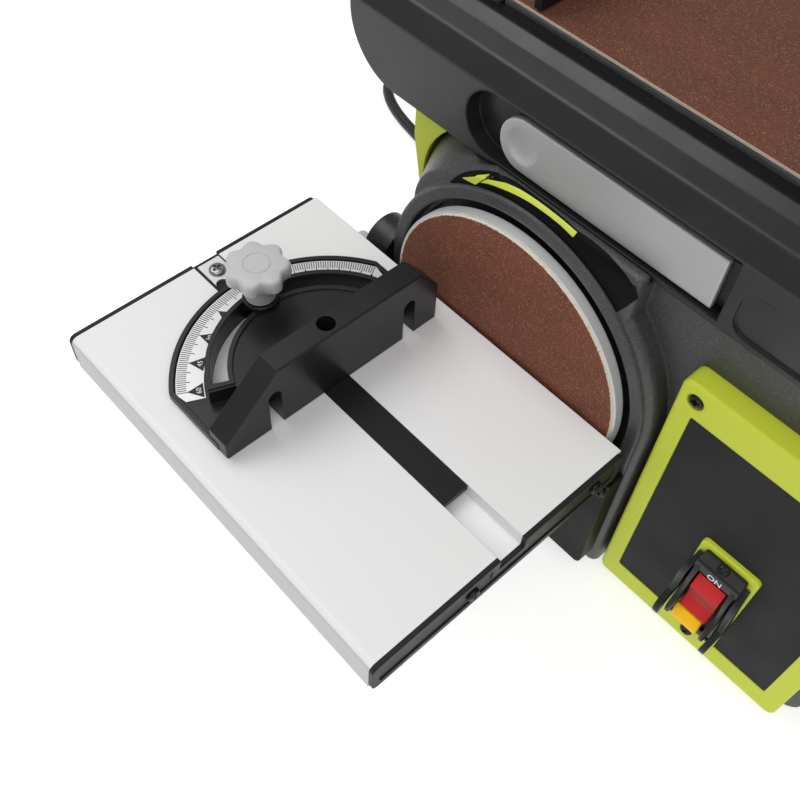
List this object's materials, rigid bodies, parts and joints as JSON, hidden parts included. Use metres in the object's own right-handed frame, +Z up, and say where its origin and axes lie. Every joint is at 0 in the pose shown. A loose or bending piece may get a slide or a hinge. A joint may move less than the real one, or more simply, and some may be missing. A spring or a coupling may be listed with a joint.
{
  "type": "bench belt and disc sander",
  "caption": "Bench sander with a swing-up belt arm over a cast housing, a vertical abrasive disc, a tilting table with a mitre gauge, and a safety switch.",
  "frame": {"origin": "on the bench, at the centre of the four bench bolts", "axes": "+X along the belt towards its idler end, -Y towards the user at the disc table, +Z up"},
  "size_m": [0.6584, 0.5191, 0.3],
  "materials": {
    "cast_paint": "hammered dark grey paint on iron",
    "sheet_steel": "zinc plated sheet",
    "rubber": "matte",
    "guard_paint": "satin dark grey",
    "green_plastic": "satin moulded",
    "black_plastic": "satin moulded",
    "inset_film": "matte film",
    "dark_screw": "black oxide",
    "alloy": "machined",
    "bearing_steel": "ground",
    "core_steel": "laminated",
    "abrasive": "coated grit",
    "spring_steel": "oiled",
    "nickel": "satin nickel",
    "table_alloy": "satin extruded",
    "grey_plastic": "light grey moulded",
    "black_steel": "black oxide bar",
    "gauge_paint": "matte dark grey",
    "red_plastic": "glossy",
    "yellow_plastic": "glossy"
  },
  "bodies": {
    "base": {"main_housing": "cast_paint", "base_plate": "sheet_steel", "rubber_feet": "rubber", "lower_guard": "guard_paint", "left_cover": "green_plastic", "rear_cover": "black_plastic", "front_panel": "green_plastic", "panel_inset": "inset_film", "switch_bezel": "black_plastic", "switch_body": "black_plastic", "cover_screws": "dark_screw", "motor_can": "sheet_steel", "motor_end_bells": "alloy", "motor_bearings": "bearing_steel", "motor_stator": "core_steel", "drive_belt": "rubber", "strain_relief": "rubber", "power_cord": "rubber", "cord_coil": "rubber", "coil_tie": "black_plastic", "mains_plug": "black_plastic"},
    "disc": {"motor_shaft": "bearing_steel", "rotor": "core_steel", "cooling_fan": "black_plastic", "motor_pulley": "alloy", "disc_plate": "alloy", "abrasive_disc": "abrasive"},
    "drum": {"drive_drum": "alloy", "drum_shaft": "bearing_steel", "drum_pulley": "alloy"},
    "arm": {"arm_beam": "alloy", "platen": "sheet_steel", "front_side_plate": "sheet_steel", "rear_side_plate": "sheet_steel", "drum_bearings": "bearing_steel", "arm_lower_cover": "guard_paint", "arm_front_cover": "black_plastic", "sanding_belt": "abrasive", "work_stop": "guard_paint", "arm_screws": "dark_screw"},
    "idler_carriage": {"idler_axle": "bearing_steel", "tension_rod": "sheet_steel", "tension_spring": "spring_steel"},
    "idler": {"idler_drum": "alloy"},
    "lever": {"tension_lever": "nickel"},
    "tracking": {"tracking_knob": "black_plastic"},
    "arm_lock": {"arm_lock_knob": "black_plastic"},
    "table": {"table_plate": "table_alloy", "table_end_caps": "black_plastic", "table_screws": "dark_screw", "table_brackets": "sheet_steel", "hinge_pins": "bearing_steel"},
    "table_lock": {"table_lock_knob": "grey_plastic"},
    "gauge_bar": {"mitre_bar": "black_steel", "pointer_plate": "nickel", "pointer_screw": "nickel"},
    "gauge_head": {"mitre_head": "gauge_paint"},
    "gauge_knob": {"mitre_knob": "grey_plastic"},
    "paddle": {"switch_paddle": "red_plastic"},
    "key": {"safety_key": "yellow_plastic"}
  },
  "joints": [
    {"name": "disc_spin", "type": "hinge", "parent": "base", "child": "disc", "pos_m": [-0.065, -0.08, 0.1265], "axis": [0, -1, 0], "continuous": true},
    {"name": "drum_spin", "type": "hinge", "parent": "base", "child": "drum", "pos_m": [-0.165, 0.013, 0.247], "axis": [0, -1, 0], "continuous": true},
    {"name": "arm_tilt", "type": "hinge", "parent": "base", "child": "arm", "pos_m": [-0.165, 0.013, 0.247], "axis": [0, -1, 0], "range_deg": [0, 90]},
    {"name": "tension_lever_swing", "type": "hinge", "parent": "arm", "child": "lever", "pos_m": [0.0185, -0.058, 0.2319], "axis": [0, 0, 1], "range_deg": [0, 90]},
    {"name": "idler_slide", "type": "slide", "parent": "arm", "child": "idler_carriage", "axis": [1, 0, 0], "range_m": [-0.005, 0]},
    {"name": "idler_spin", "type": "hinge", "parent": "idler_carriage", "child": "idler", "pos_m": [0.21083, 0.0133, 0.247], "axis": [0, -1, 0], "continuous": true},
    {"name": "tracking_turn", "type": "hinge", "parent": "arm", "child": "tracking", "pos_m": [0.24333, -0.055, 0.247], "axis": [1, 0, 0], "range_deg": [-180, 180]},
    {"name": "arm_lock_turn", "type": "hinge", "parent": "base", "child": "arm_lock", "pos_m": [-0.193, 0.075, 0.247], "axis": [-1, 0, 0], "range_deg": [0, 360]},
    {"name": "table_tilt", "type": "hinge", "parent": "base", "child": "table", "pos_m": [-0.09, -0.097, 0.097], "axis": [1, 0, 0], "range_deg": [0, 45]},
    {"name": "table_lock_turn", "type": "hinge", "parent": "base", "child": "table_lock", "pos_m": [-0.173, -0.075, 0.092], "axis": [-1, 0, 0], "range_deg": [0, 360]},
    {"name": "gauge_slide", "type": "slide", "parent": "table", "child": "gauge_bar", "axis": [1, 0, 0], "range_m": [-0.05, 0.1]},
    {"name": "gauge_swing", "type": "hinge", "parent": "gauge_bar", "child": "gauge_head", "pos_m": [-0.106, -0.161, 0.128], "axis": [0, 0, 1], "range_deg": [-60, 60]},
    {"name": "gauge_knob_turn", "type": "hinge", "parent": "gauge_bar", "child": "gauge_knob", "pos_m": [-0.158, -0.161, 0.16], "axis": [0, 0, 1], "range_deg": [0, 360]},
    {"name": "paddle_rock", "type": "hinge", "parent": "base", "child": "paddle", "pos_m": [0.0865, -0.074, 0.0695], "axis": [1, 0, 0], "range_deg": [-16, 0]},
    {"name": "key_pull", "type": "slide", "parent": "base", "child": "key", "axis": [0, -1, 0], "range_m": [0, 0.016]}
  ],
  "couplings": [
    {"joint": "drum_spin", "follows": "disc_spin", "ratio": 1},
    {"joint": "idler_spin", "follows": "disc_spin", "ratio": 1},
    {"joint": "idler_slide", "follows": "tension_lever_swing", "m_per_rad": -0.0031831}
  ]
}
